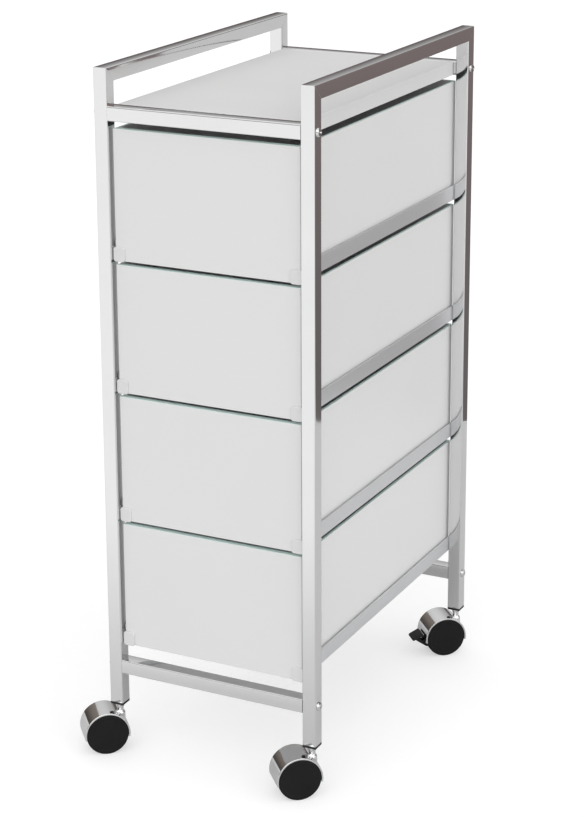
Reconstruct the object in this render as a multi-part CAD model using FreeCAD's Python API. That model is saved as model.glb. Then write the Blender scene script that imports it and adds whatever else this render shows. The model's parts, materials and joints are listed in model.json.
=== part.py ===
import FreeCAD, Part
import math
import os

# A rolling salon trolley: two welded side frames of square tube, joined by four cross
# rails, with a white top board, four drawers on runners and four hooded casters.
# Millimetres, +Z up. Everything is modelled about the middle of the frame, with X to the
# right and Y to the rear, and moved by FRAME_SHIFT when it is saved, because the origin is
# the middle of the whole footprint, casters included.

V = FreeCAD.Vector

# ---- driving dimensions -------------------------------------------------------------
TUBE = 16.0
TUBE_WALL = 1.2
TUBE_CORNER = 1.4
FRAME_WIDTH = 256.0
FRAME_DEPTH = 420.0
FRAME_TOP = 776.0
POST_FOOT = 57.0
TOP_RAIL_UNDERSIDE = 720.0
BOTTOM_RAIL_UNDERSIDE = 94.0

BOARD_WIDTH = 218.0
BOARD_END_GAP = 0.5
BOARD_EDGE = 1.0

SCREW_RADIUS = 3.0
SCREW_HOLE_GAP = 0.05
SCREW_HEAD_RADIUS = 5.0
SCREW_HEAD_HEIGHT = 2.8
SCREW_LENGTH = 32.0
PLUG_LENGTH = 20.0
FIT_GAP = 0.05

BOARD_PIN_RADIUS = 2.5
BOARD_PIN_X = 70.0
BOARD_PIN_IN_RAIL = 10.0
BOARD_PIN_IN_BOARD = 15.0

DRAWER_COUNT = 4
DRAWER_PITCH = 147.0
LOWEST_FRONT_BOTTOM = 128.2
FRONT_HEIGHT = 142.6
FRONT_WIDTH = 218.0
FRONT_RECESS = 6.0
FRONT_THICKNESS = 4.5
TRAY_WIDTH = 217.0
TRAY_BACK_Y = 206.0
TRAY_WALL = 3.5
TRAY_FLOOR = 3.0
TRAY_CORNER = 4.0

RUNNER_RISE = 3.0
RUNNER_HEIGHT = 18.0
RUNNER_LEG = 14.0
RUNNER_SHEET = 1.5
RUNNER_BACK_Y = 206.0
SLIDE_GAP = 0.3
STOP_GAP = 0.5

CLIP_WIDTH = 13.8
CLIP_HEIGHT = 16.2
CLIP_PROUD = 2.0
CLIP_DROP = 0.8
CLIP_OUTER_X = 111.3
CLIP_CORNER = 3.0
PEG_RADIUS = 2.0
PEG_LENGTH = 3.5

CAP_FLANGE = 2.7
CAP_TAPER = 0.6
CAP_FOOT = 13.0
CAP_INSERT = 24.0

WHEEL_RADIUS = 24.0
WHEEL_WIDTH = 11.2
WHEEL_EDGE = 2.0
WHEEL_FACE = 1.3
WHEEL_RECESS_DEPTH = 7.0
WHEEL_RECESS_OUTER = 20.5
WHEEL_RECESS_INNER = 7.0
CASTER_TRAIL = 18.0
CASTER_HEADING = -138.5
HOOD_INNER = 24.6
HOOD_SHEET = 1.1
HOOD_HALF_WIDTH = 18.0
HOOD_LOWER_END = 19.3
WEB_HALF_WIDTH = 6.0
WHEEL_SIDE_GAP = 0.4
AXLE_RADIUS = 3.0
AXLE_BOSS = 8.0
NECK_RADIUS = 4.2
NECK_TOP = 50.3
NECK_INSIDE = 30.0
STEM_RADIUS = 4.0
STEM_COLLAR_RADIUS = 4.6
STEM_COLLAR_HEIGHT = 3.0
STEM_GRIP = 22.0
SPINDLE_RADIUS = 2.7
SPINDLE_LENGTH = 18.0

PIVOT_FROM_AXLE = 17.5
PIVOT_HEIGHT = 24.0
PIVOT_PIN_RADIUS = 1.5
BRAKE_SLOT_HALF = 2.9
BRAKE_TONGUE_HALF = 2.5
BRAKE_TONGUE_RADIUS = 3.6
BRAKE_ARM_HALF = 5.0
BRAKE_PAD_HALF = 9.0
BRAKE_ARM_THICKNESS = 4.6
BRAKE_PAD_THICKNESS = 3.4
KNEE_FROM_AXLE = 17.0
KNEE_HEIGHT = 10.2
ELBOW_FROM_AXLE = 33.2
ELBOW_HEIGHT = 21.4
PAD_INNER_FROM_AXLE = 28.2
PAD_INNER_HEIGHT = 27.0
TIP_FROM_AXLE = 38.5
TIP_HEIGHT = 22.0

PARALLEL = 0.999

# ---- sizes that follow ----------------------------------------------------------------
HALF_WIDTH = FRAME_WIDTH / 2
HALF_DEPTH = FRAME_DEPTH / 2
POST_X = HALF_WIDTH - TUBE / 2
POST_Y = HALF_DEPTH - TUBE / 2
INNER_X = HALF_WIDTH - TUBE
INNER_Y = HALF_DEPTH - TUBE
CAVITY = TUBE - 2 * TUBE_WALL
TOP_RAIL_TOP = TOP_RAIL_UNDERSIDE + TUBE
CAP_BOTTOM = POST_FOOT - CAP_FLANGE - CAP_TAPER
FRONT_FACE_Y = -HALF_DEPTH + FRONT_RECESS
FRONT_BACK_Y = FRONT_FACE_Y + FRONT_THICKNESS
RUNNER_FRONT_Y = FRONT_BACK_Y + STOP_GAP
HOOD_OUTER = HOOD_INNER + HOOD_SHEET
WHEEL_INNER_Y = WEB_HALF_WIDTH + WHEEL_SIDE_GAP
WHEEL_OUTER_Y = WHEEL_INNER_Y + WHEEL_WIDTH
AXLE_HALF = WHEEL_OUTER_Y - WHEEL_FACE - WHEEL_SIDE_GAP
RAIL_HEIGHTS = {"top": TOP_RAIL_UNDERSIDE + TUBE / 2, "bottom": BOTTOM_RAIL_UNDERSIDE + TUBE / 2}
SIDES = {"left": -1, "right": 1}
ENDS = {"front": -1, "rear": 1}


def footprint_shift():
    """Where the frame's middle stands, when the origin is the middle of the whole footprint."""
    heading = math.radians(CASTER_HEADING)
    along = V(math.cos(heading), math.sin(heading), 0)
    sideways = V(-math.sin(heading), math.cos(heading), 0)
    pad_end = CASTER_TRAIL + TIP_FROM_AXLE + BRAKE_PAD_THICKNESS / 2
    reach = [
        V(-HALF_WIDTH - SCREW_HEAD_HEIGHT, -HALF_DEPTH, 0),
        V(HALF_WIDTH + SCREW_HEAD_HEIGHT, HALF_DEPTH, 0),
    ]
    for side in SIDES.values():
        for end in ENDS.values():
            post = V(side * POST_X, end * POST_Y, 0)
            for sign in (-1, 1):
                edge = post + sideways * (sign * HOOD_HALF_WIDTH)
                reach.append(edge + along * (CASTER_TRAIL - HOOD_OUTER))
                reach.append(edge + along * (CASTER_TRAIL + HOOD_OUTER))
                if end == ENDS["rear"]:
                    reach.append(post + along * pad_end + sideways * (sign * BRAKE_PAD_HALF))
    middle_x = (min(p.x for p in reach) + max(p.x for p in reach)) / 2
    middle_y = (min(p.y for p in reach) + max(p.y for p in reach)) / 2
    return V(-middle_x, -middle_y, 0)


FRAME_SHIFT = footprint_shift()


# ---- helpers --------------------------------------------------------------------------
def box(x_low, x_high, y_low, y_high, z_low, z_high):
    """A box between two corners."""
    return Part.makeBox(x_high - x_low, y_high - y_low, z_high - z_low, V(x_low, y_low, z_low))


def rod(radius, start, end):
    """A round rod from one point to another."""
    return Part.makeCylinder(radius, (end - start).Length, start, end - start)


def edges_along(shape, direction):
    """The straight edges of a shape that run along a direction."""
    found = []
    for edge in shape.Edges:
        if isinstance(edge.Curve, Part.Line) and abs(edge.Curve.Direction.dot(direction)) > PARALLEL:
            found.append(edge)
    return found


def round_edges(shape):
    """The circular edges of a shape."""
    return [edge for edge in shape.Edges if isinstance(edge.Curve, Part.Circle)]


def prism(points, direction):
    """A solid made by sweeping a flat polygon along a direction."""
    wire = Part.makePolygon(points + [points[0]])
    return Part.Face(wire).extrude(direction)


def joined(shapes):
    """One solid made of several that meet."""
    whole = shapes[0]
    for shape in shapes[1:]:
        whole = whole.fuse(shape)
    return whole.removeSplitter()


def square_tube(x_low, x_high, y_low, y_high, z_low, z_high, direction):
    """A square tube with rounded outer corners, open at both ends along a direction."""
    outer = box(x_low, x_high, y_low, y_high, z_low, z_high)
    outer = outer.makeFillet(TUBE_CORNER, edges_along(outer, direction))
    inset = V(TUBE_WALL, TUBE_WALL, TUBE_WALL) - direction * TUBE_WALL
    bore = box(
        x_low + inset.x, x_high - inset.x,
        y_low + inset.y, y_high - inset.y,
        z_low + inset.z, z_high - inset.z,
    )
    return outer.cut(bore)


def save(name, shapes):
    """Write one sub-part: a single solid, or a group of separate ones."""
    if isinstance(shapes, list):
        shape = Part.makeCompound(shapes)
    else:
        shape = shapes
    shape.translate(FRAME_SHIFT)
    if not shape.isValid():
        print("not valid:", name)
    shape.exportStep("parts/" + name + ".step")
    print(name, len(shape.Solids), "solid(s), volume", round(shape.Volume))


# ---- side frames ----------------------------------------------------------------------
def mitre_wedge(end):
    """The wedge over the 45 degree mitre between a post and its handle rail."""
    outer_y = end * HALF_DEPTH
    inner_y = end * INNER_Y
    points = [
        V(-HALF_WIDTH - TUBE, outer_y, FRAME_TOP),
        V(-HALF_WIDTH - TUBE, inner_y, FRAME_TOP - TUBE),
        V(-HALF_WIDTH - TUBE, inner_y, FRAME_TOP + TUBE),
        V(-HALF_WIDTH - TUBE, outer_y + end * TUBE, FRAME_TOP + TUBE),
        V(-HALF_WIDTH - TUBE, outer_y + end * TUBE, FRAME_TOP),
    ]
    return prism(points, V(FRAME_WIDTH + 2 * TUBE, 0, 0))


def post(side, end):
    """An upright of a side frame, drilled for the two cross rail screws."""
    x = side * POST_X
    y = end * POST_Y
    half = TUBE / 2
    tube = square_tube(x - half, x + half, y - half, y + half, POST_FOOT, FRAME_TOP, V(0, 0, 1))
    tube = tube.cut(mitre_wedge(end))
    for height in RAIL_HEIGHTS.values():
        hole = rod(SCREW_RADIUS + SCREW_HOLE_GAP, V(x - TUBE, y, height), V(x + TUBE, y, height))
        tube = tube.cut(hole)
    return tube


def post_side_wedge(end):
    """The wedge under the mitre, which belongs to the post."""
    outer_y = end * HALF_DEPTH
    inner_y = end * INNER_Y
    overrun = end * TUBE
    points = [
        V(-HALF_WIDTH - TUBE, outer_y + overrun, FRAME_TOP + TUBE),
        V(-HALF_WIDTH - TUBE, inner_y - overrun, FRAME_TOP - 2 * TUBE),
        V(-HALF_WIDTH - TUBE, outer_y + overrun, FRAME_TOP - 2 * TUBE),
    ]
    return prism(points, V(FRAME_WIDTH + 2 * TUBE, 0, 0))


def handle_rail(side):
    """The rail along the top of a side frame, mitred to both posts."""
    x = side * POST_X
    half = TUBE / 2
    tube = square_tube(
        x - half, x + half, -HALF_DEPTH, HALF_DEPTH, FRAME_TOP - TUBE, FRAME_TOP, V(0, 1, 0)
    )
    for end in ENDS.values():
        tube = tube.cut(post_side_wedge(end))
    return tube


def runner(side, level):
    """An L-shaped drawer runner, welded between the posts of a side frame."""
    bottom = LOWEST_FRONT_BOTTOM + RUNNER_RISE + level * DRAWER_PITCH
    web = box(
        INNER_X - RUNNER_SHEET, INNER_X,
        RUNNER_FRONT_Y, RUNNER_BACK_Y,
        bottom, bottom + RUNNER_HEIGHT,
    )
    leg = box(
        INNER_X - RUNNER_LEG, INNER_X,
        RUNNER_FRONT_Y, RUNNER_BACK_Y,
        bottom, bottom + RUNNER_SHEET,
    )
    profile = joined([web, leg])
    if side < 0:
        profile = profile.mirror(V(0, 0, 0), V(1, 0, 0))
    return profile


# ---- cross rails and their fixings ----------------------------------------------------
def board_pin_line(side, end):
    """The two ends of a board pin: inside the rail, and inside the board."""
    in_rail = V(side * BOARD_PIN_X, end * (INNER_Y + BOARD_PIN_IN_RAIL), RAIL_HEIGHTS["top"])
    in_board = V(side * BOARD_PIN_X, end * (INNER_Y - BOARD_PIN_IN_BOARD), RAIL_HEIGHTS["top"])
    return in_rail, in_board


def cross_rail(end, level):
    """A cross rail between the side frames; the top ones are drilled for the board pins."""
    y = end * POST_Y
    z = RAIL_HEIGHTS[level]
    half = TUBE / 2
    tube = square_tube(-INNER_X, INNER_X, y - half, y + half, z - half, z + half, V(1, 0, 0))
    if level == "top":
        for side in SIDES.values():
            tube = tube.cut(rod(BOARD_PIN_RADIUS + FIT_GAP, *board_pin_line(side, end)))
    return tube


def pan_screw(point, direction):
    """A pan-head screw whose head bears at a point; its shank runs along a direction."""
    head = rod(SCREW_HEAD_RADIUS, point - direction * SCREW_HEAD_HEIGHT, point)
    crown = [e for e in round_edges(head) if e.CenterOfMass.distanceToPoint(point) > FIT_GAP]
    head = head.makeFillet(SCREW_HEAD_HEIGHT / 2, crown)
    shank = rod(SCREW_RADIUS, point, point + direction * SCREW_LENGTH)
    return joined([head, shank])


def cross_recess(point, direction):
    """The cross cut in the head of a screw that lies along X."""
    reach = SCREW_HEAD_RADIUS / 2
    width = SCREW_RADIUS / 4
    outer = point - direction * SCREW_HEAD_HEIGHT
    inner = point - direction * (SCREW_HEAD_HEIGHT / 2)
    low_x = min(outer.x, inner.x)
    high_x = max(outer.x, inner.x)
    tall = box(low_x, high_x, point.y - width, point.y + width, point.z - reach, point.z + reach)
    wide = box(low_x, high_x, point.y - reach, point.y + reach, point.z - width, point.z + width)
    return tall.fuse(wide)


def frame_screws():
    """Eight screws through the posts into the ends of the cross rails."""
    screws = []
    for side in SIDES.values():
        for end in ENDS.values():
            for height in RAIL_HEIGHTS.values():
                seat = V(side * HALF_WIDTH, end * POST_Y, height)
                inward = V(-side, 0, 0)
                screws.append(pan_screw(seat, inward).cut(cross_recess(seat, inward)))
    return screws


def rail_end_plugs():
    """Eight threaded plugs pressed into the ends of the cross rails."""
    plugs = []
    half = CAVITY / 2 - FIT_GAP
    for side in SIDES.values():
        for end in ENDS.values():
            for height in RAIL_HEIGHTS.values():
                y = end * POST_Y
                x_ends = sorted([side * INNER_X, side * (INNER_X - PLUG_LENGTH)])
                plug = box(x_ends[0], x_ends[1], y - half, y + half, height - half, height + half)
                bore = rod(
                    SCREW_RADIUS + SCREW_HOLE_GAP, V(x_ends[0], y, height), V(x_ends[1], y, height)
                )
                plugs.append(plug.cut(bore))
    return plugs


# ---- top board ------------------------------------------------------------------------
def top_board():
    """The laminated board between the top cross rails."""
    half_length = INNER_Y - BOARD_END_GAP
    board = box(
        -BOARD_WIDTH / 2, BOARD_WIDTH / 2,
        -half_length, half_length,
        TOP_RAIL_UNDERSIDE, TOP_RAIL_TOP,
    )
    board = board.makeFillet(BOARD_EDGE, edges_along(board, V(0, 1, 0)))
    for side in SIDES.values():
        for end in ENDS.values():
            in_rail, in_board = board_pin_line(side, end)
            board = board.cut(rod(BOARD_PIN_RADIUS + FIT_GAP, in_rail, in_board - V(0, end * FIT_GAP, 0)))
    return board


def board_pins():
    """Four pins that hold the ends of the board to the top cross rails."""
    pins = []
    for side in SIDES.values():
        for end in ENDS.values():
            pins.append(rod(BOARD_PIN_RADIUS, *board_pin_line(side, end)))
    return pins


# ---- drawers --------------------------------------------------------------------------
def front_bottom(level):
    """The height of a drawer front's lower edge; level 0 is the lowest drawer."""
    return LOWEST_FRONT_BOTTOM + level * DRAWER_PITCH


def peg_point(side, level):
    """Where a corner clip's peg enters the drawer front."""
    x = side * (CLIP_OUTER_X - CLIP_WIDTH / 2)
    z = front_bottom(level) - CLIP_DROP + CLIP_HEIGHT / 2
    return V(x, FRONT_FACE_Y, z)


def drawer_front(level):
    """The flat front panel of a drawer, with a blind hole for each clip's peg."""
    bottom = front_bottom(level)
    panel = box(
        -FRONT_WIDTH / 2, FRONT_WIDTH / 2,
        FRONT_FACE_Y, FRONT_BACK_Y,
        bottom, bottom + FRONT_HEIGHT,
    )
    for side in SIDES.values():
        start = peg_point(side, level)
        hole = rod(PEG_RADIUS + FIT_GAP, start, start + V(0, PEG_LENGTH + FIT_GAP, 0))
        panel = panel.cut(hole)
    return panel


def drawer_tray(level):
    """The open-topped tray behind a drawer front, resting on its two runners."""
    bottom = front_bottom(level) + RUNNER_RISE + RUNNER_SHEET + SLIDE_GAP
    top = front_bottom(level) + FRONT_HEIGHT
    half = TRAY_WIDTH / 2
    outer = box(-half, half, FRONT_BACK_Y, TRAY_BACK_Y, bottom, top)
    back_edges = [e for e in edges_along(outer, V(0, 0, 1)) if e.CenterOfMass.y > 0]
    outer = outer.makeFillet(TRAY_CORNER, back_edges)
    inner = box(
        -half + TRAY_WALL, half - TRAY_WALL,
        FRONT_BACK_Y + TRAY_WALL, TRAY_BACK_Y - TRAY_WALL,
        bottom + TRAY_FLOOR, top + TRAY_WALL,
    )
    inner = inner.makeFillet(TRAY_CORNER - TRAY_WALL / 2, edges_along(inner, V(0, 0, 1)))
    return outer.cut(inner)


def corner_clip(side, level):
    """A moulded clip over a lower corner of a drawer front, with a peg into the panel."""
    low_z = front_bottom(level) - CLIP_DROP
    high_z = low_z + CLIP_HEIGHT
    inner_x = CLIP_OUTER_X - CLIP_WIDTH
    face_y = FRONT_FACE_Y - CLIP_PROUD
    block = box(inner_x, CLIP_OUTER_X, face_y, FRONT_BACK_Y, low_z, high_z)
    block = block.makeFillet(CLIP_CORNER, edges_along(block, V(0, 1, 0)))
    seat = box(
        0, FRONT_WIDTH / 2,
        FRONT_FACE_Y, FRONT_BACK_Y + CLIP_PROUD,
        front_bottom(level), high_z + CLIP_PROUD,
    )
    clip = block.cut(seat)
    if side < 0:
        clip = clip.mirror(V(0, 0, 0), V(1, 0, 0))
    start = peg_point(side, level)
    return joined([clip, rod(PEG_RADIUS, start, start + V(0, PEG_LENGTH, 0))])


# ---- leg caps -------------------------------------------------------------------------
def square_wire(half, z):
    """A square outline at a height."""
    corners = [V(-half, -half, z), V(half, -half, z), V(half, half, z), V(-half, half, z)]
    return Part.makePolygon(corners + [corners[0]])


def leg_cap(side, end):
    """A plastic cap in a post's foot, tapered below, with a socket for the caster's stem."""
    flange = box(-TUBE / 2, TUBE / 2, -TUBE / 2, TUBE / 2, CAP_BOTTOM + CAP_TAPER, POST_FOOT)
    taper = Part.makeLoft(
        [square_wire(CAP_FOOT / 2, CAP_BOTTOM), square_wire(TUBE / 2, CAP_BOTTOM + CAP_TAPER)], True, True
    )
    half = CAVITY / 2 - FIT_GAP
    insert = box(-half, half, -half, half, POST_FOOT, POST_FOOT + CAP_INSERT)
    cap = joined([flange, taper, insert])
    socket = rod(STEM_RADIUS + FIT_GAP, V(0, 0, CAP_BOTTOM), V(0, 0, CAP_BOTTOM + STEM_GRIP + FIT_GAP))
    cap = cap.cut(socket)
    cap.translate(V(side * POST_X, end * POST_Y, 0))
    return cap


# ---- casters --------------------------------------------------------------------------
# A caster is made with its swivel axis on the origin, its wheels trailing towards +X and
# its axle along Y, and is then turned to CASTER_HEADING and moved under its post.
AXLE_POINT = V(CASTER_TRAIL, 0, WHEEL_RADIUS)
PIVOT_POINT = V(CASTER_TRAIL + PIVOT_FROM_AXLE, 0, PIVOT_HEIGHT)


def across(point, half):
    """The two ends of a line through a point along Y."""
    return point - V(0, half, 0), point + V(0, half, 0)


def caster_stem():
    """The pin that grips the cap's socket and carries the swivelling hood."""
    grip = rod(STEM_RADIUS, V(0, 0, CAP_BOTTOM - STEM_COLLAR_HEIGHT), V(0, 0, CAP_BOTTOM + STEM_GRIP))
    collar = rod(
        STEM_COLLAR_RADIUS, V(0, 0, CAP_BOTTOM - STEM_COLLAR_HEIGHT), V(0, 0, CAP_BOTTOM)
    )
    foot = CAP_BOTTOM - STEM_COLLAR_HEIGHT
    spindle = rod(SPINDLE_RADIUS, V(0, 0, foot - SPINDLE_LENGTH), V(0, 0, foot))
    return joined([grip, collar, spindle])


def caster_hood(with_brake):
    """The hood: a curved sheet over both wheels, a web between them, and the neck."""
    low, high = across(AXLE_POINT, HOOD_HALF_WIDTH)
    shell = rod(HOOD_OUTER, low, high).cut(rod(HOOD_INNER, low, high))
    web_low, web_high = across(AXLE_POINT, WEB_HALF_WIDTH)
    web = rod(HOOD_INNER + HOOD_SHEET / 2, web_low, web_high)
    keep = box(
        -TUBE, CASTER_TRAIL + 2 * HOOD_OUTER,
        -HOOD_HALF_WIDTH, HOOD_HALF_WIDTH,
        HOOD_LOWER_END, NECK_TOP + TUBE,
    )
    upper = shell.fuse(web).common(keep)
    boss = rod(AXLE_BOSS, web_low, web_high)
    neck = rod(NECK_RADIUS, V(0, 0, NECK_INSIDE), V(0, 0, NECK_TOP))
    for sign in (-1, 1):
        wheel_space = rod(
            HOOD_INNER,
            AXLE_POINT + V(0, sign * WEB_HALF_WIDTH, 0),
            AXLE_POINT + V(0, sign * (HOOD_HALF_WIDTH + WHEEL_SIDE_GAP), 0),
        )
        neck = neck.cut(wheel_space)
    hood = joined([upper, boss, neck])
    axle_low, axle_high = across(AXLE_POINT, HOOD_HALF_WIDTH)
    hood = hood.cut(rod(AXLE_RADIUS + FIT_GAP, axle_low, axle_high))
    spindle_end = CAP_BOTTOM - STEM_COLLAR_HEIGHT - SPINDLE_LENGTH - FIT_GAP
    hood = hood.cut(rod(SPINDLE_RADIUS + FIT_GAP, V(0, 0, spindle_end), V(0, 0, NECK_TOP + TUBE)))
    if with_brake:
        slot = box(
            CASTER_TRAIL + AXLE_BOSS, CASTER_TRAIL + HOOD_INNER,
            -BRAKE_SLOT_HALF, BRAKE_SLOT_HALF,
            0, PIVOT_HEIGHT + 2 * BRAKE_TONGUE_RADIUS,
        )
        pin_low, pin_high = across(PIVOT_POINT, WEB_HALF_WIDTH)
        hood = hood.cut(slot).cut(rod(PIVOT_PIN_RADIUS + FIT_GAP, pin_low, pin_high))
    return hood


def caster_axle():
    """The axle, held in the hood's web."""
    low, high = across(AXLE_POINT, AXLE_HALF)
    return rod(AXLE_RADIUS, low, high)


def caster_wheel(sign):
    """A moulded wheel: closed and flat outside, hollow towards the web."""
    inner = AXLE_POINT + V(0, sign * WHEEL_INNER_Y, 0)
    outer = AXLE_POINT + V(0, sign * WHEEL_OUTER_Y, 0)
    wheel = rod(WHEEL_RADIUS, inner, outer)
    wheel = wheel.makeFillet(WHEEL_EDGE, round_edges(wheel))
    recess_end = inner + V(0, sign * WHEEL_RECESS_DEPTH, 0)
    recess = rod(WHEEL_RECESS_OUTER, inner, recess_end).cut(rod(WHEEL_RECESS_INNER, inner, recess_end))
    bore = rod(AXLE_RADIUS + FIT_GAP, inner, outer - V(0, sign * WHEEL_FACE, 0))
    return wheel.cut(recess).cut(bore)


def brake_pin():
    """The pin that the brake pedal turns on."""
    low, high = across(PIVOT_POINT, WEB_HALF_WIDTH)
    return rod(PIVOT_PIN_RADIUS, low, high)


def bar(start, end, thickness, half_width):
    """A flat bar between two points of the XZ plane, with round ends."""
    run = end - start
    side = V(-run.z, 0, run.x).normalize() * (thickness / 2)
    across_bar = V(0, 2 * half_width, 0)
    corners = [start + side, end + side, end - side, start - side]
    flat = prism([c - V(0, half_width, 0) for c in corners], across_bar)
    knobs = [rod(thickness / 2, *across(p, half_width)) for p in (start, end)]
    return joined([flat] + knobs)


def brake_pedal():
    """The pedal: a tongue on the pin, an arm under the hood's end, and a sloping foot pad."""
    knee = V(CASTER_TRAIL + KNEE_FROM_AXLE, 0, KNEE_HEIGHT)
    elbow = V(CASTER_TRAIL + ELBOW_FROM_AXLE, 0, ELBOW_HEIGHT)
    pad_inner = V(CASTER_TRAIL + PAD_INNER_FROM_AXLE, 0, PAD_INNER_HEIGHT)
    tip = V(CASTER_TRAIL + TIP_FROM_AXLE, 0, TIP_HEIGHT)
    eye = rod(BRAKE_TONGUE_RADIUS, *across(PIVOT_POINT, BRAKE_TONGUE_HALF))
    tongue = bar(PIVOT_POINT, knee, BRAKE_ARM_THICKNESS, BRAKE_TONGUE_HALF)
    arm = bar(knee, elbow, BRAKE_ARM_THICKNESS, BRAKE_ARM_HALF)
    pad = bar(pad_inner, tip, BRAKE_PAD_THICKNESS, BRAKE_PAD_HALF)
    pedal = joined([eye, tongue, arm, pad])
    return pedal.cut(rod(PIVOT_PIN_RADIUS + FIT_GAP, *across(PIVOT_POINT, WEB_HALF_WIDTH)))


def under_post(shape, side, end):
    """Turn a caster piece to its heading and move it under its post."""
    shape.rotate(V(0, 0, 0), V(0, 0, 1), CASTER_HEADING)
    shape.translate(V(side * POST_X, end * POST_Y, 0))
    return shape


# ---- everything, in order -------------------------------------------------------------
def save_side_frames():
    for side_name, side in SIDES.items():
        for end_name, end in ENDS.items():
            save(end_name + "_" + side_name + "_post", post(side, end))
        save(side_name + "_handle_rail", handle_rail(side))
        for level in range(DRAWER_COUNT):
            save(side_name + "_runner_" + str(DRAWER_COUNT - level), runner(side, level))


def save_cross_members():
    for level in RAIL_HEIGHTS:
        for end_name, end in ENDS.items():
            save(level + "_" + end_name + "_rail", cross_rail(end, level))
    save("frame_screws", frame_screws())
    save("rail_end_plugs", rail_end_plugs())
    save("top_board", top_board())
    save("board_pins", board_pins())


def save_drawers():
    for level in range(DRAWER_COUNT):
        drawer = "drawer_" + str(DRAWER_COUNT - level)
        save(drawer + "_front", drawer_front(level))
        save(drawer + "_tray", drawer_tray(level))
        save(drawer + "_corner_clips", [corner_clip(side, level) for side in SIDES.values()])


def save_casters():
    save("leg_caps", [leg_cap(side, end) for side in SIDES.values() for end in ENDS.values()])
    for end_name, end in ENDS.items():
        for side_name, side in SIDES.items():
            caster = end_name + "_" + side_name + "_caster"
            braked = end_name == "rear"
            save(caster + "_stem", under_post(caster_stem(), side, end))
            save(caster + "_hood", under_post(caster_hood(braked), side, end))
            save(caster + "_axle", under_post(caster_axle(), side, end))
            save(caster + "_wheel_1", under_post(caster_wheel(1), side, end))
            save(caster + "_wheel_2", under_post(caster_wheel(-1), side, end))
            if braked:
                save(caster + "_brake_pedal", under_post(brake_pedal(), side, end))
                save(caster + "_brake_pin", under_post(brake_pin(), side, end))


os.makedirs("parts", exist_ok=True)
save_side_frames()
save_cross_members()
save_drawers()
save_casters()
print("frame middle from the origin:", round(FRAME_SHIFT.x, 3), round(FRAME_SHIFT.y, 3))
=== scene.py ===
# %% [markdown]
# # A rolling salon trolley
#
# The trolley is a frame of chromed square tube with a white board on top, four white
# drawers on runners, and four casters under chrome hoods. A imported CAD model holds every
# size, and this notebook dresses it: it keeps each piece where the CAD model has it, gives
# it finer edges and surfaces, and sets up a small studio.
#
# Everything is in metres. The first cell loads the CAD model, whose pieces never move.

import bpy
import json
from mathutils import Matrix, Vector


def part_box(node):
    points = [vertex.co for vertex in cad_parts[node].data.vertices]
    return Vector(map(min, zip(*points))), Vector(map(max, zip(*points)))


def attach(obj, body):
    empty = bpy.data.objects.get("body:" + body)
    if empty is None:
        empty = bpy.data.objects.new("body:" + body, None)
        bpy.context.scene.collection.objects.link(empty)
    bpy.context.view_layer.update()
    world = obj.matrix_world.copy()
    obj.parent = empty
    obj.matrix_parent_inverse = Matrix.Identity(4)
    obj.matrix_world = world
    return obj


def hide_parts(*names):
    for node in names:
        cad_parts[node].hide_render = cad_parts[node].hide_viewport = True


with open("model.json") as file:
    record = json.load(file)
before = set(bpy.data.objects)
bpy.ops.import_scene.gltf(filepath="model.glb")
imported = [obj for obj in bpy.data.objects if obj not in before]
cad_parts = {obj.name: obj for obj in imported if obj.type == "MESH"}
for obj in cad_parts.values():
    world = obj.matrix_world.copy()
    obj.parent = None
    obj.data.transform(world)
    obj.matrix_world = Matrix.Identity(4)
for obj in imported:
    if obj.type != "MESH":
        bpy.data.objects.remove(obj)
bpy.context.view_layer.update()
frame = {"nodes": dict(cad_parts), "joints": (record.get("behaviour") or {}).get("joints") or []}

# %% Modules and units
import json
import math

import bmesh
import bpy
from mathutils import Matrix, Vector

MM = 0.001
WELD = 0.001 * MM
SIDES = {"left": -1, "right": 1}
ENDS = {"front": -1, "rear": 1}
JOINTS = {joint["name"]: joint for joint in frame["joints"]}
DRAWERS = ["drawer_1", "drawer_2", "drawer_3", "drawer_4"]
CASTERS = [end + "_" + side + "_caster" for end in ENDS for side in SIDES]
print("casters:", CASTERS)

# %% [markdown]
# ## Shader maths as Python expressions
#
# A finish is a small graph of nodes, and most of them are sums and products. Wiring each
# one by hand hides the idea, so `Wire` wraps an output socket and turns `+`, `-` and `*`
# into Math nodes. Any other node comes from the one `node` method of `Nodes`: first its
# settings, then the values or wires of its sockets. `Finish` is a material built that way.

# %% Wire and Finish


class Wire:
    """An output socket whose arithmetic adds Math nodes."""

    def __init__(self, socket):
        self.socket = socket

    def math(self, operation, first, second):
        tree = self.socket.id_data
        step = tree.nodes.new("ShaderNodeMath")
        step.operation = operation
        for slot, value in zip(step.inputs, (first, second)):
            if isinstance(value, Wire):
                tree.links.new(value.socket, slot)
            else:
                slot.default_value = value
        return Wire(step.outputs[0])

    def beside(self, output):
        """Another output of the same node."""
        return Wire(self.socket.node.outputs[output])

    def __add__(self, other):
        return self.math("ADD", self, other)

    def __sub__(self, other):
        return self.math("SUBTRACT", self, other)

    def __rsub__(self, other):
        return self.math("SUBTRACT", other, self)

    def __mul__(self, other):
        return self.math("MULTIPLY", self, other)

    __radd__ = __add__
    __rmul__ = __mul__


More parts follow.
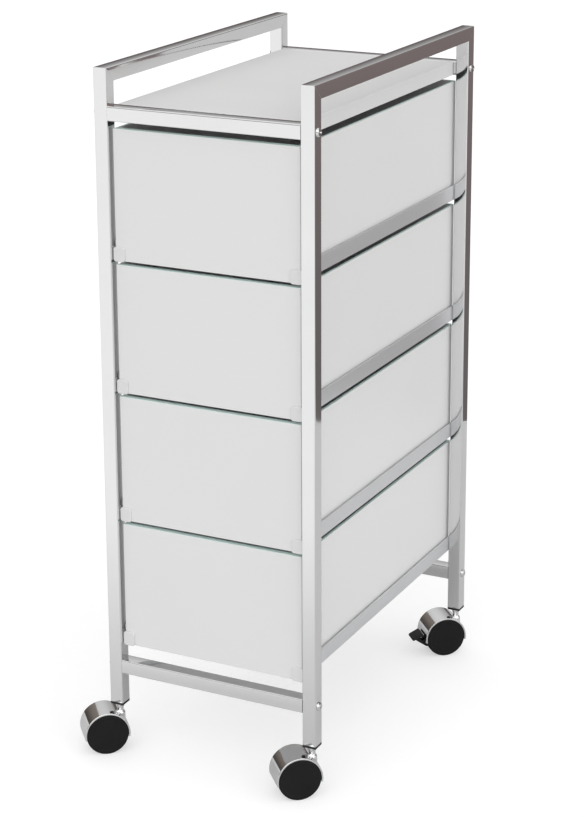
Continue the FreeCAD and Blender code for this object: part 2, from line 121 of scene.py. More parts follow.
class Nodes:
    """A node tree, and one method that adds any node to it."""

    def __init__(self, tree):
        self.tree = tree

    def node(self, kind, settings=None, sockets=None, output=0):
        step = self.tree.nodes.new(kind)
        for name, value in (settings or {}).items():
            if name == "stops":
                self.set_stops(step, value)
            else:
                setattr(step, name, value)
        for name, value in (sockets or {}).items():
            if isinstance(value, Wire):
                self.tree.links.new(value.socket, step.inputs[name])
            else:
                step.inputs[name].default_value = value
        return Wire(step.outputs[output])

    def set_stops(self, step, stops):
        ramp = step.color_ramp
        while len(ramp.elements) < len(stops):
            ramp.elements.new(1.0)
        for element, (position, colour) in zip(ramp.elements, stops):
            element.position = position
            element.color = colour

    def mix(self, factor, first, second):
        """A colour between two others."""
        sockets = {0: factor, 6: first, 7: second}
        return self.node("ShaderNodeMix", {"data_type": "RGBA"}, sockets, output=2)


class Finish(Nodes):
    """A material with one Principled shader whose sockets can be fed."""

    def __init__(self, name, **constants):
        self.material = bpy.data.materials.new(name)
        self.material.use_nodes = True
        super().__init__(self.material.node_tree)
        self.shader = self.tree.nodes["Principled BSDF"]
        for socket, value in constants.items():
            self.shader.inputs[socket.replace("_", " ")].default_value = value
        coordinates = self.tree.nodes.new("ShaderNodeTexCoord")
        self.place = Wire(coordinates.outputs["Object"])

    def noise(self, scale, detail=2.0, roughness=0.5, stretch=(1.0, 1.0, 1.0)):
        """Noise on object coordinates, from 0 to 1; scale is in features per metre."""
        sockets = {"Vector": self.place, "Scale": stretch}
        stretched = self.node("ShaderNodeMapping", sockets=sockets)
        sockets = {"Vector": stretched, "Scale": scale, "Detail": detail, "Roughness": roughness}
        return self.node("ShaderNodeTexNoise", sockets=sockets)

    def feed(self, socket, wire):
        self.tree.links.new(wire.socket, self.shader.inputs[socket])

    def surface(self, colour, roughness, height, distance, strength):
        """Feed the shader's colour, roughness and bump; returns the material."""
        self.feed("Base Color", colour)
        self.feed("Roughness", roughness)
        sockets = {"Height": height, "Distance": distance, "Strength": strength}
        self.feed("Normal", self.node("ShaderNodeBump", sockets=sockets))
        return self.material


def grey(value, tint=(0.0, 0.0, 0.0)):
    """A grey colour with a slight tint, opaque."""
    return (*(value + shade for shade in tint), 1.0)


# %% [markdown]
# ## Chrome on tube
#
# Chrome plate is a mirror, so its look is mostly what stands around it. What makes it read
# as metal on a tube is what keeps it from being perfect: the tube is drawn, so its faces
# wander by a few hundredths of a millimetre along their length, and hands leave a faint
# haze. The wandering is a very long, shallow bump and the haze is a small change in
# roughness.

# %% Chrome


def chrome(name, tone, satin, haze, waviness, tint=0.0, metal=1.0):
    """Chrome plate: satin is its least roughness, and metal below 1 makes it partly white."""
    finish = Finish(name, Metallic=metal)
    smudge = finish.noise(14.0, 4.0, 0.55)
    fine = finish.noise(420.0, 2.0, 0.6, (1.0, 1.0, 0.06))
    wander = finish.noise(5.5, 1.0, 0.4)
    cool = (0.0, tint * 0.4, tint)
    colour = finish.mix(smudge, grey(tone, cool), grey(tone - 0.045, cool))
    roughness = smudge * haze + fine * 0.03 + satin
    return finish.surface(colour, roughness, wander * waviness + fine * 0.0000015, 1.0, 0.6)


TUBE_CHROME = chrome("chrome_on_tube", 0.82, 0.035, 0.05, 0.0009)
RUNNER_CHROME = chrome("chrome_on_runners", 0.68, 0.34, 0.10, 0.0003, tint=0.02, metal=0.5)
HOOD_CHROME = chrome("chrome_on_hoods", 0.83, 0.035, 0.05, 0.0003)
print("chrome:", TUBE_CHROME.name, RUNNER_CHROME.name, HOOD_CHROME.name)

# %% [markdown]
# ## Screws and plated steel
#
# A machine screw's head is turned bright steel, whose colour and gloss vary in fine
# patches. Zinc plate on the hidden plugs and pins is duller, with a cloudy bluish spangle.

# %% Bright screw and zinc


def bright_steel():
    finish = Finish("bright_screw_steel", Metallic=1.0)
    patch = finish.noise(900.0, 3.0, 0.5)
    colour = finish.mix(patch, grey(0.80), grey(0.68, (0.01, 0.005, 0.0)))
    return finish.surface(colour, patch * 0.12 + 0.1, patch, 0.00002, 0.5)


def zinc_plate():
    finish = Finish("zinc_plate", Metallic=1.0)
    sockets = {"Vector": finish.place, "Scale": 420.0}
    cells = finish.node("ShaderNodeTexVoronoi", sockets=sockets, output=1)
    cloud = finish.noise(160.0, 3.0, 0.6)
    colour = finish.mix(cells, grey(0.56, (0.0, 0.005, 0.012)), grey(0.66, (0.0, 0.003, 0.01)))
    return finish.surface(colour, cloud * 0.2 + 0.28, cloud, 0.00003, 0.4)


SCREW_STEEL = bright_steel()
ZINC = zinc_plate()
print("steel:", SCREW_STEEL.name, ZINC.name)

# %% [markdown]
# ## White board and white drawers
#
# The board is particle board under a satin melamine skin, whose texture is pressed in: a
# shallow pebble well under a millimetre across. The drawers are moulded, with a smoother
# skin that still ripples slightly where the plastic has cooled over its ribs. Neither is
# one flat white, so a slow noise moves the colour and the gloss by a percent or two.

# %% White finishes


def melamine():
    finish = Finish("white_melamine", Specular_IOR_Level=0.45)
    cloud = finish.noise(9.0, 3.0, 0.5)
    pebble = finish.noise(1500.0, 2.0, 0.5)
    colour = finish.mix(cloud, grey(0.70, (0.0, -0.002, -0.006)), grey(0.735))
    return finish.surface(colour, pebble * 0.14 + cloud * 0.06 + 0.34, pebble, 0.00005, 0.35)


def moulded_white(name, tone, gloss, ripple):
    finish = Finish(name, Specular_IOR_Level=0.4)
    cloud = finish.noise(7.0, 3.0, 0.5)
    skin = finish.noise(2200.0, 2.0, 0.5)
    wave = finish.noise(16.0, 1.0, 0.3)
    colour = finish.mix(cloud, grey(tone - 0.012), grey(tone + 0.012))
    roughness = skin * 0.1 + cloud * 0.05 + gloss
    return finish.surface(colour, roughness, wave * ripple + skin * 0.000012, 1.0, 0.5)


# The cut edge's teal hue is its own, but both teals are made lighter than the white faces so that the
# rim, shaded by the runner and the drawer above, reads lit: painted light.
TEAL_CUT_EDGE_PAINTED_LIGHT = (0.66, 0.83, 0.79, 1.0)
TEAL_WORN_PAINTED_LIGHT = (0.72, 0.87, 0.83, 1.0)


def cut_edge():
    finish = Finish("grey_green_cut_edge", Specular_IOR_Level=0.4)
    saw = finish.noise(260.0, 2.0, 0.5, (1.0, 1.0, 4.0))
    colour = finish.mix(saw, TEAL_CUT_EDGE_PAINTED_LIGHT, TEAL_WORN_PAINTED_LIGHT)
    return finish.surface(colour, saw * 0.2 + 0.45, saw, 0.00003, 0.4)


MELAMINE = melamine()
DRAWER_WHITE = moulded_white("moulded_white", 0.745, 0.36, 0.0004)
CLIP_WHITE = moulded_white("clip_white", 0.70, 0.26, 0.0001)
CUT_EDGE_AND_PAINTED_LIGHT = cut_edge()
print("whites:", MELAMINE.name, DRAWER_WHITE.name, CLIP_WHITE.name, CUT_EDGE_AND_PAINTED_LIGHT.name)

# %% [markdown]
# ## Black plastics
#
# The caps and pedals have a spark-eroded grain, so their gloss breaks up. The wheels are
# nylon, with a faint cloudy grey and a scuffed gloss all over.

# %% Black finishes


def grained_black():
    finish = Finish("grained_black", Specular_IOR_Level=0.25)
    grain = finish.noise(2600.0, 2.0, 0.6)
    cloud = finish.noise(60.0, 2.0, 0.5)
    colour = finish.mix(cloud, grey(0.014), grey(0.022, (0.0, 0.0005, 0.001)))
    return finish.surface(colour, grain * 0.2 + 0.38, grain, 0.00004, 0.5)


def nylon_black():
    finish = Finish("nylon_black", Specular_IOR_Level=0.15)
    cloud = finish.noise(45.0, 3.0, 0.55)
    scuff = finish.noise(900.0, 3.0, 0.7)
    colour = finish.mix(cloud, grey(0.0085, (0.001, 0.0, 0.0005)), grey(0.0125))
    return finish.surface(colour, scuff * 0.16 + cloud * 0.1 + 0.42, scuff, 0.00002, 0.4)


GRAINED_BLACK = grained_black()
NYLON = nylon_black()
print("blacks:", GRAINED_BLACK.name, NYLON.name)

# %% [markdown]
# ## Mesh tools
#
# Most pieces here are flat stock with softened edges. The softening matters more than its
# size suggests: the thin highlight along an edge is what tells the eye that a face is
# thick. A Bevel modifier with hardened normals rounds the edge and keeps the faces flat.

# %% Making pieces


def link(name, mesh, *materials):
    """A new object that shows a mesh, with its material slots."""
    piece = bpy.data.objects.new(name, mesh)
    bpy.context.scene.collection.objects.link(piece)
    for material in materials:
        mesh.materials.append(material)
    return piece


def from_bmesh(name, shape, *materials):
    """Close a bmesh into an object, with its faces turned outwards."""
    bmesh.ops.remove_doubles(shape, verts=shape.verts, dist=WELD)
    bmesh.ops.recalc_face_normals(shape, faces=shape.faces)
    mesh = bpy.data.meshes.new(name)
    shape.to_mesh(mesh)
    shape.free()
    return link(name, mesh, *materials)


def soften(piece, radius, segments=3, angle=35.0):
    """Round every sharp edge, and keep the flat faces flat."""
    for polygon in piece.data.polygons:
        polygon.use_smooth = True
    bevel = piece.modifiers.new("soft_edges", "BEVEL")
    bevel.width = radius
    bevel.segments = segments
    bevel.limit_method = "ANGLE"
    bevel.angle_limit = math.radians(angle)
    bevel.harden_normals = True


def smooth_by_angle(piece, angle=35.0):
    """Smooth shading, with a crease wherever two faces meet more sharply than the angle."""
    limit = math.radians(angle)
    shape = bmesh.new()
    shape.from_mesh(piece.data)
    for face in shape.faces:
        face.smooth = True
    for edge in shape.edges:
        if len(edge.link_faces) == 2:
            edge.smooth = edge.calc_face_angle() < limit
    shape.to_mesh(piece.data)
    shape.free()


def flat_faces(piece, angle=35.0):
    """Creases by angle, and normals that follow the large faces."""
    smooth_by_angle(piece, angle)
    piece.modifiers.new("flat_faces", "WEIGHTED_NORMAL").keep_sharp = True


def bake(piece):
    """Replace a piece's mesh by what its modifiers make of it."""
    bpy.context.view_layer.update()
    graph = bpy.context.evaluated_depsgraph_get()
    mesh = bpy.data.meshes.new_from_object(piece.evaluated_get(graph))
    piece.modifiers.clear()
    piece.data = mesh


def stands_for(piece, body, slot, *nodes):
    """Let a piece ride on a body in place of CAD nodes."""
    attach(piece, body)
    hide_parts(*nodes)


def add_box(shape, low, high):
    """Add a box to a bmesh."""
    size = Vector(high) - Vector(low)
    middle = (Vector(high) + Vector(low)) / 2
    matrix = Matrix.Translation(middle) @ Matrix.Diagonal((*size, 1.0))
    bmesh.ops.create_cube(shape, size=1.0, matrix=matrix)


def add_loft(shape, loops):
    """Join equal loops of points by quads, with a cap at both ends."""
    rings = [[shape.verts.new(point) for point in loop] for loop in loops]
    shape.faces.new(list(reversed(rings[0])))
    shape.faces.new(rings[-1])
    for lower, upper in zip(rings, rings[1:]):
        for i in range(len(lower)):
            j = (i + 1) % len(lower)
            shape.faces.new((lower[i], lower[j], upper[j], upper[i]))


def quarter_turn(steps):
    """The sine and cosine at equal steps through a right angle."""
    angles = [0.5 * math.pi * step / steps for step in range(steps + 1)]
    return [(math.sin(angle), math.cos(angle)) for angle in angles]


def rounded_outline(low, high, radii, steps=5):
    """Points round a rectangle whose four corners each have their own radius."""
    corners = [
        (Vector((low[0], low[1])), (1, 1), math.pi),
        (Vector((high[0], low[1])), (-1, 1), 1.5 * math.pi),
        (Vector((high[0], high[1])), (-1, -1), 0.0),
        (Vector((low[0], high[1])), (1, -1), 0.5 * math.pi),
    ]
    points = []
    for (corner, inward, start), radius in zip(corners, radii):
        centre = corner + Vector(inward) * radius
        for step in range(steps + 1):
            angle = start + 0.5 * math.pi * step / steps
            points.append(centre + Vector((math.cos(angle), math.sin(angle))) * radius)
    return points


# %% [markdown]
# ## One tree for every straight section
#
# Posts, rails and runners are all a flat section pushed along a straight line, and some
# ends are cut at 45 degrees. That is a rule, so Geometry Nodes can hold it: extrude the
# section, put a floor under it, weld the seam, and shear the ends by a slope. The tree's
# inputs are the length and the two slopes, and a slope of zero is a square cut.

# %% The section tree


def new_tree(name, inputs):
    """A geometry tree's nodes, and a wire for each of its named inputs."""
    tree = bpy.data.node_groups.new(name, "GeometryNodeTree")
    tree.interface.new_socket("Geometry", in_out="INPUT", socket_type="NodeSocketGeometry")
    for label, socket_type in inputs.items():
        tree.interface.new_socket(label, in_out="INPUT", socket_type=socket_type)
    tree.interface.new_socket("Geometry", in_out="OUTPUT", socket_type="NodeSocketGeometry")
    given = tree.nodes.new("NodeGroupInput")
    return Nodes(tree), {socket.name: Wire(socket) for socket in given.outputs if socket.name}


def close_tree(steps, geometry, material):
    """End a tree in Realize Instances and Set Material."""
    real = steps.node("GeometryNodeRealizeInstances", sockets={"Geometry": geometry})
    sockets = {"Geometry": real, "Material": material}
    painted = steps.node("GeometryNodeSetMaterial", sockets=sockets)
    end = steps.tree.nodes.new("NodeGroupOutput")
    steps.tree.links.new(painted.socket, end.inputs["Geometry"])
    return steps.tree


def run_tree(piece, tree, values):
    """Run a tree on a piece with these input values, and keep the plain mesh."""
    modifier = piece.modifiers.new(tree.name, "NODES")
    modifier.node_group = tree
    for item in tree.interface.items_tree:
        if item.in_out == "INPUT" and item.name in values:
            modifier[item.identifier] = values[item.name]
    bake(piece)


def section_tree():
    """Push a flat section along +Z and cut its two ends on a slope."""
    inputs = {
        "Length": "NodeSocketFloat",
        "Start Slope": "NodeSocketFloat",
        "End Slope": "NodeSocketFloat",
        "Finish": "NodeSocketMaterial",
    }
    steps, given = new_tree("straight_section", inputs)
    section, length = given["Geometry"], given["Length"]
    rise = steps.node("ShaderNodeCombineXYZ", sockets={"Z": length})
    sockets = {"Mesh": section, "Offset": rise, "Offset Scale": 1.0, "Individual": False}
    pushed = steps.node("GeometryNodeExtrudeMesh", {"mode": "FACES"}, sockets)
    floor_face = steps.node("GeometryNodeFlipFaces", sockets={"Mesh": section})
    both = steps.node("GeometryNodeJoinGeometry", sockets={0: pushed})
    steps.tree.links.new(floor_face.socket, both.socket.node.inputs[0])
    sockets = {"Geometry": both, "Distance": WELD}
    welded = steps.node("GeometryNodeMergeByDistance", sockets=sockets)
    position = steps.node("GeometryNodeInputPosition")
    height = steps.node("ShaderNodeSeparateXYZ", sockets={0: position}, output="Z")
    beyond = height.math("GREATER_THAN", height, length * 0.5)
    sockets = {0: beyond, 2: given["Start Slope"], 3: given["End Slope"]}
    slope = steps.node("ShaderNodeMix", {"data_type": "FLOAT"}, sockets)
    slide = steps.node("ShaderNodeCombineXYZ", sockets={"Z": height.beside("Y") * slope})
    cut = steps.node("GeometryNodeSetPosition", sockets={"Geometry": welded, "Offset": slide})
    return close_tree(steps, cut, given["Finish"])


SECTION_TREE = section_tree()
print("section tree nodes:", len(SECTION_TREE.nodes))

# %% [markdown]
# ## The two sections
#
# The tube's section is a square ring with rounded corners, and the runner's is an L folded
# from sheet, with a small radius inside and outside its bend.

# %% Section outlines
TUBE = 16.0 * MM
TUBE_WALL = 1.2 * MM
TUBE_CORNER = 1.5 * MM
HALF_TUBE = TUBE / 2
RUNNER_SHEET = 1.5 * MM


def tube_section():
    """A square ring in the XY plane, as quads between its two outlines."""
    half = HALF_TUBE
    bore = half - TUBE_WALL
    outer = rounded_outline((-half, -half), (half, half), [TUBE_CORNER] * 4, 6)
    inner = rounded_outline((-bore, -bore), (bore, bore), [TUBE_CORNER - TUBE_WALL] * 4, 6)
    shape = bmesh.new()
    outside = [shape.verts.new((*point, 0.0)) for point in outer]
    inside = [shape.verts.new((*point, 0.0)) for point in inner]
    for i in range(len(outer)):
        j = (i + 1) % len(outer)
        shape.faces.new((outside[i], outside[j], inside[j], inside[i]))
    return shape


def runner_section(leg, height):
    """An L in the XY plane: the leg along +X from the bend, and the web along +Y."""
    sheet = RUNNER_SHEET
    outline = [Vector((sheet, height)), Vector((0.0, height))]
    for step in range(6):
        angle = math.radians(90 - 90 * step / 5)
        outline.append(Vector((sheet * (1 - math.sin(angle)), sheet * (1 - math.cos(angle)))))
    outline += [Vector((leg, 0.0)), Vector((leg, sheet)), Vector((sheet, sheet))]
    shape = bmesh.new()
    shape.faces.new([shape.verts.new((*point, 0.0)) for point in outline])
    return shape


def straight_piece(name, shape, length, slopes, placing, material):
    """A section pushed along a line and put in its place."""
    bmesh.ops.recalc_face_normals(shape, faces=shape.faces)
    if sum(face.normal.z for face in shape.faces) < 0:
        bmesh.ops.reverse_faces(shape, faces=shape.faces)
    mesh = bpy.data.meshes.new(name)
    shape.to_mesh(mesh)
    shape.free()
    piece = link(name, mesh)
    start, end = slopes
    values = {"Length": length, "Start Slope": start, "End Slope": end, "Finish": material}
    run_tree(piece, SECTION_TREE, values)
    piece.data.transform(placing)
    if placing.determinant() < 0:
        piece.data.flip_normals()
    return piece


# %% [markdown]
# ## Posts and handle rails
#
# Each side of the frame is two posts and a handle rail, mitred together at 45 degrees and
# polished flush. The seam is hard to see but not invisible, so each mitre keeps a very
# small bevel. Width runs along X, so a post's slope is across its own Y.

# %% Side frames


def axes(x_axis, y_axis, z_axis, origin):
    """The matrix that lays a section's X, Y and Z along these directions from an origin."""
    turn = Matrix((x_axis, y_axis, z_axis)).transposed()
    return Matrix.Translation(origin) @ turn.to_4x4()


def tube_piece(name, start, end, side_axis, slopes):
    """A length of tube between two points; slopes are measured along side_axis."""
    run = Vector(end) - Vector(start)
    along = run.normalized()
    across = Vector(side_axis)
    placing = axes(across.cross(along), across, along, Vector(start))
    piece = straight_piece(name, tube_section(), run.length, slopes, placing, TUBE_CHROME)
    soften(piece, 0.22 * MM, 2, 40.0)
    stands_for(piece, "frame", "chrome_tube", name)


for side in SIDES:
    rail = side + "_handle_rail"
    low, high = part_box(rail)
    centre_x = (low.x + high.x) / 2
    centre_z = high.z - HALF_TUBE
    for end, sign in ENDS.items():
        post = end + "_" + side + "_post"
        post_low, post_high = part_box(post)
        post_y = (post_low.y + post_high.y) / 2
        foot = (centre_x, post_y, post_low.z)
        head = (centre_x, post_y, centre_z)
        tube_piece(post, foot, head, (0, -sign, 0), (0.0, -1.0))
    front = (centre_x, low.y + HALF_TUBE, centre_z)
    rear = (centre_x, high.y - HALF_TUBE, centre_z)
    tube_piece(rail, front, rear, (0, 0, 1), (-1.0, 1.0))
print("side frames done")

# %% [markdown]
# ## Cross rails and runners
#
# Four square-cut rails tie the side frames together, and eight runners carry the drawers.
# A runner's leg points inwards on either side, so the two sides are mirror images.

# %% Cross rails
for level in ("top", "bottom"):
    for end in ENDS:
        rail = level + "_" + end + "_rail"
        low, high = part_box(rail)
        centre = (low + high) / 2
        start = (low.x, centre.y, centre.z)
        stop = (high.x, centre.y, centre.z)
        tube_piece(rail, start, stop, (0, 0, 1), (0.0, 0.0))
print("cross rails done")

# %% Runners
for side, sign in SIDES.items():
    for number in range(1, 5):
        runner = side + "_runner_" + str(number)
        low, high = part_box(runner)
        leg, height = high.x - low.x, high.z - low.z
        web_x = high.x if sign > 0 else low.x
        placing = axes((-sign, 0, 0), (0, 0, 1), (0, 1, 0), Vector((web_x, low.y, low.z)))
        section = runner_section(leg, height)
        run = high.y - low.y
        piece = straight_piece(runner, section, run, (0.0, 0.0), placing, RUNNER_CHROME)
        soften(piece, 0.3 * MM, 2, 40.0)
        stands_for(piece, "frame", "chrome_tube", runner)
print("runners done")

# %% [markdown]
# ## The top board
#
# A sawn board with its skin on top and underneath and a band round its edges. The band's
# joint is a hairline, and its corners are eased by hand, so the bevel is small.

# %% Board
low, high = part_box("top_board")
shape = bmesh.new()
add_box(shape, low, high)
board = from_bmesh("top_board_laminate", shape, MELAMINE)
soften(board, 0.9 * MM, 4)
stands_for(board, "frame", "white_board", "top_board")
print("board", [round(v, 3) for v in board.dimensions])

# %% [markdown]
# ## Drawers
#
# A drawer is a moulded tray behind a flat front panel, with a clip over each lower corner
# of the front. The tray's walls are lofted from outlines: round the outside, over the rim,
# and down the inside to the floor, where a wide radius is what a mould needs.

# %% Drawer fronts
EDGE_ROUND = 0.5 * MM


def paint_top(piece, index, slack):
    """Give the faces on a piece's top rim another material slot; on the drawers that slot is the teal
    cut edge, made lighter than the white as painted light for the rim's shade.
    """
    top = max(vertex.co.z for vertex in piece.data.vertices)
    for polygon in piece.data.polygons:
        if polygon.normal.z > 0.6 and polygon.center.z > top - slack:
            polygon.material_index = index


for drawer in DRAWERS:
    low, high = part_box(drawer + "_front")
    shape = bmesh.new()
    add_box(shape, low, high)
    panel = from_bmesh(drawer + "_front_panel", shape, DRAWER_WHITE, CUT_EDGE_AND_PAINTED_LIGHT)
    soften(panel, EDGE_ROUND, 3)
    # The top rim takes the teal cut edge, whose lightness is partly painted light for its shade.
    paint_top(panel, 1, EDGE_ROUND)
    stands_for(panel, drawer, "drawer_white", drawer + "_front")
print("fronts done")

# %% Drawer trays
TRAY_WALL = 3.5 * MM
TRAY_FLOOR = 3.0 * MM
RIM_ROUND = 0.45 * MM
FOOT_ROUND = 1.2 * MM
FLOOR_FILLET = 2.0 * MM


def tray_loop(low, high, z, inset, back_radius, front_radius):
    """One outline of the tray at a height, drawn in from the outside by an inset."""
    corner_low = (low.x + inset, low.y + inset)
    corner_high = (high.x - inset, high.y - inset)
    radii = [front_radius, front_radius, back_radius, back_radius]
    return [(*point, z) for point in rounded_outline(corner_low, corner_high, radii, 6)]


def tray_piece(name, low, high):
    """The tray's walls: up the outside, over the rim, and down the inside to the floor."""
    wall, rim, foot, fillet = TRAY_WALL, RIM_ROUND, FOOT_ROUND, FLOOR_FILLET
    floor_z = low.z + TRAY_FLOOR
    outside, inside, bottom = (4.0 * MM, 0.6 * MM), (2.25 * MM, 2.25 * MM), (2.3 * MM, 2.3 * MM)
    stages = [(foot * (1 - s), low.z + foot * (1 - c), outside) for s, c in quarter_turn(4)]
    stages += [(rim * (1 - c), high.z - rim * (1 - s), outside) for s, c in quarter_turn(4)]
    stages += [(wall - rim * (1 - s), high.z - rim * (1 - c), inside) for s, c in quarter_turn(4)]
    stages += [
        (wall + fillet * (1 - c), floor_z + fillet * (1 - s), bottom) for s, c in quarter_turn(5)
    ]
    shape = bmesh.new()
    add_loft(shape, [tray_loop(low, high, z, inset, *radii) for inset, z, radii in stages])
    return from_bmesh(name, shape, DRAWER_WHITE, CUT_EDGE_AND_PAINTED_LIGHT)


for drawer in DRAWERS:
    low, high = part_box(drawer + "_tray")
    tray = tray_piece(drawer + "_moulded_tray", low, high)
    flat_faces(tray, 40.0)
    # The tray's rim takes the teal cut edge, whose lightness is partly painted light for its shade.
    paint_top(tray, 1, RIM_ROUND)
    stands_for(tray, drawer, "drawer_white", drawer + "_tray")
print("trays done")

# %% [markdown]
# ### Corner clips
#
# A clip is a rounded block with a domed face. A Boolean cuts the panel's seat from its
# back, a hair larger than the panel, so that no two faces lie in one plane.

# %% Corner clips
CLIP_WIDTH = 13.8 * MM
CLIP_CORNER = 3.2 * MM
CLIP_DOME = 0.9 * MM
SEAT_GAP = 0.02 * MM
SEAT_HEIGHT = 30.0 * MM
SEAT_DEPTH = 6.0 * MM


def clip_shell(shape, low, high):
    """A rounded block with its front edge domed."""
    loops = []
    for s, c in quarter_turn(5):
        loops.append(clip_loop(low, high, low.y + CLIP_DOME * (1 - c), CLIP_DOME * (1 - s)))
    loops.append(clip_loop(low, high, high.y, 0.0))
    add_loft(shape, loops)


def clip_loop(low, high, y, inset):
    """An outline of a clip in its own plane, at a depth."""
    corner_low = (low.x + inset, low.z + inset)
    corner_high = (high.x - inset, high.z - inset)
    outline = rounded_outline(corner_low, corner_high, [CLIP_CORNER - inset] * 4, 6)
    return [(point.x, y, point.y) for point in outline]


def clip_pair(drawer):
    """Both clips of a drawer, with the panel's seat cut from their backs."""
    low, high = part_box(drawer + "_corner_clips")
    front_low, front_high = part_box(drawer + "_front")
    gap = Vector((SEAT_GAP, SEAT_GAP, SEAT_GAP))
    seat_high = (front_high.x + SEAT_GAP, front_high.y + SEAT_DEPTH, low.z + SEAT_HEIGHT)
    whole = bmesh.new()
    for sign in SIDES.values():
        near = low.x if sign < 0 else high.x - CLIP_WIDTH
        far = low.x + CLIP_WIDTH if sign < 0 else high.x
        shape = bmesh.new()
        clip_shell(shape, Vector((near, low.y, low.z)), Vector((far, high.y, high.z)))
        block = from_bmesh("clip_block", shape)
        shape = bmesh.new()
        add_box(shape, front_low - gap, seat_high)
        seat = from_bmesh("clip_seat", shape)
        cutter = block.modifiers.new("seat", "BOOLEAN")
        cutter.operation = "DIFFERENCE"
        cutter.solver = "EXACT"
        cutter.object = seat
        bake(block)
        whole.from_mesh(block.data)
        for used in (block, seat):
            bpy.data.objects.remove(used)
    return from_bmesh(drawer + "_clips", whole, CLIP_WHITE)


for drawer in DRAWERS:
    clips = clip_pair(drawer)
    flat_faces(clips)
    stands_for(clips, drawer, "clip_white", drawer + "_corner_clips")
print("clips done")

# %% [markdown]
# ## Casters
#
# A twin-wheel caster is a body of revolution seen from the side. The hood is a sheet
# swept along an arc, the wheels and the neck are turned shapes, and the web between the
# wheels is a plate cut to the same arc. Each is made about the origin with the axle along
# Y and the wheels trailing towards +X, and is then set under its post with one matrix.

# %% Caster frame of reference


def caster_matrix(caster):
    """From a caster's own axes to the trolley's."""
    swivel = Vector(JOINTS[caster + "_swivel"]["pos_m"])
    spin = JOINTS[caster + "_wheel_1_spin"]
    axle = Vector(spin["pos_m"])
    along_axle = Vector(spin["axis"]).normalized()
    up = Vector((0, 0, 1))
    trailing = along_axle.cross(up)
    return axes(trailing, along_axle, up, Vector((swivel.x, swivel.y, 0.0))), axle


matrix, axle = caster_matrix(CASTERS[0])
TRAIL = (matrix.inverted() @ axle).x
AXLE_HEIGHT = axle.z
print("trail", round(TRAIL, 4), "axle height", round(AXLE_HEIGHT, 4))

# %% Turned shapes


def turned(shape, profile, centre, axis, steps=72):
    """Turn a profile of (radius, distance along the axis) points into a closed solid."""
    axis = Vector(axis).normalized()
    first = axis.orthogonal().normalized()
    second = axis.cross(first)
    rings = []
    for radius, along in profile:
        base = Vector(centre) + axis * along
        if radius < 1e-9:
            rings.append([shape.verts.new(base)])
            continue
        ring = []
        for step in range(steps):
            angle = 2 * math.pi * step / steps
            spoke = first * math.cos(angle) + second * math.sin(angle)
            ring.append(shape.verts.new(base + spoke * radius))
        rings.append(ring)
    for lower, upper in zip(rings, rings[1:]):
        for i in range(steps):
            j = (i + 1) % steps
            corners = [lower[i % len(lower)], lower[j % len(lower)]]
            corners += [upper[j % len(upper)], upper[i % len(upper)]]
            unique = list(dict.fromkeys(corners))
            if len(unique) > 2:
                shape.faces.new(unique)


def rounded_profile(points, steps=4):
    """Round the corners of a profile: each point is (radius, along, corner radius)."""
    out = []
    for i, (r, a, corner) in enumerate(points):
        here = Vector((r, a))
        if corner == 0 or i in (0, len(points) - 1):
            out.append((r, a))
            continue
        before = (Vector(points[i - 1][:2]) - here).normalized()
        after = (Vector(points[i + 1][:2]) - here).normalized()
        start, end = here + before * corner, here + after * corner
        for step in range(steps + 1):
            t = step / steps
            bent = start * (1 - t) ** 2 + here * 2 * t * (1 - t) + end * t ** 2
            out.append((bent.x, bent.y))
    return out


# %% [markdown]
# ### Hoods
#
# The hood is one sheet bent over both wheels, and its rim is turned over slightly, which
# draws the bright line round each wheel. Its lower ends stop a little under the axle.

# %% Hood
HOOD_OUTER = 25.7 * MM
HOOD_INNER = 24.6 * MM
HOOD_HALF = 18.0 * MM
HOOD_END = 19.3 * MM
WEB_HALF = 6.0 * MM
SLOT_HALF = 2.9 * MM
BOSS = 8.0 * MM
BEAD = 23.8 * MM
BEAD_WIDTH = 1.4 * MM
PEDAL_SLOT_SIDE = BOSS + 1.0 * MM
PEDAL_SLOT_TOP = AXLE_HEIGHT + 7.2 * MM
PEDAL_SLOT_ANGLE = 20.0
NECK = rounded_profile([
    (0.0, 30.0 * MM, 0), (5.4 * MM, 30.0 * MM, 0), (5.4 * MM, 42.4 * MM, 1.0 * MM),
    (3.6 * MM, 45.2 * MM, 1.0 * MM), (3.6 * MM, 48.6 * MM, 0.6 * MM),
    (4.2 * MM, 49.4 * MM, 0.3 * MM), (4.2 * MM, 50.3 * MM, 0.3 * MM), (0.0, 50.3 * MM, 0),
])


def hood_section():
    """The sheet's section as (radius, depth): thin, with a bead turned inwards at each rim."""
    half, neck = HOOD_HALF, HOOD_HALF - BEAD_WIDTH
    return rounded_profile([
        (HOOD_OUTER, 0.0, 0), (HOOD_OUTER, half, 0.7 * MM), (BEAD, half, 0.7 * MM),
        (BEAD, neck, 0.5 * MM), (HOOD_INNER, neck - 0.4 * MM, 0.3 * MM),
        (HOOD_INNER, -neck + 0.4 * MM, 0.3 * MM), (BEAD, -neck, 0.5 * MM),
        (BEAD, -half, 0.7 * MM), (HOOD_OUTER, -half, 0.7 * MM), (HOOD_OUTER, 0.0, 0),
    ])[:-1]


def hood_sheet(shape):
    """The bent sheet: its section swept round the axle."""
    drop = math.asin((AXLE_HEIGHT - HOOD_END) / HOOD_OUTER)
    section = hood_section()
    loops = []
    steps = 96
    for step in range(steps + 1):
        angle = -drop + (math.pi + 2 * drop) * step / steps
        loops.append([
            (TRAIL + radius * math.cos(angle), depth, AXLE_HEIGHT + radius * math.sin(angle))
            for radius, depth in section
        ])
    add_loft(shape, loops)


